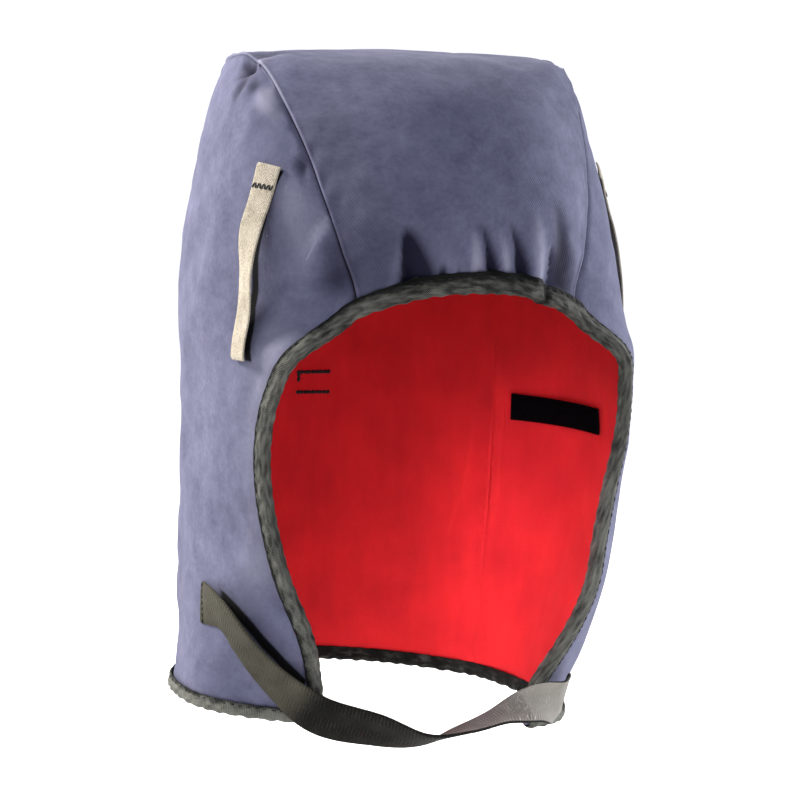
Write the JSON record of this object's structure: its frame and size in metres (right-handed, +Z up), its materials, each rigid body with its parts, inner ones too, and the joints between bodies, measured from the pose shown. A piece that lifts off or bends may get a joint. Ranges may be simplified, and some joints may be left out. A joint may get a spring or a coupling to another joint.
{
  "type": "hard hat winter liner",
  "caption": "Hood-shaped winter liner worn under a hard hat: twill shell, red lining, bound face opening and hem, tape loops for the helmet suspension and a webbing chin strap.",
  "frame": {"origin": "seat on the head, at the inside of the crown lining", "axes": "+Z up, -Y out of the face opening, +X to the wearer's left"},
  "size_m": [0.2018, 0.1962, 0.3002],
  "materials": {
    "twill": "matte cotton twill, slate blue",
    "lining": "brushed red lining",
    "binding": "dark grey folded tape",
    "tape": "cream woven cotton tape",
    "webbing": "dark olive-black woven webbing",
    "patch": "black brushed patch"
  },
  "bodies": {
    "root": {"crown_panel": "twill", "side_panel_right": "twill", "side_panel_left": "twill", "crown_lining": "lining", "side_lining_right": "lining", "side_lining_left": "lining", "face_binding": "binding", "hem_binding": "binding", "suspension_loop_right": "tape", "suspension_loop_left": "tape", "chin_strap": "webbing", "lining_patch": "patch"}
  },
  "joints": []
}
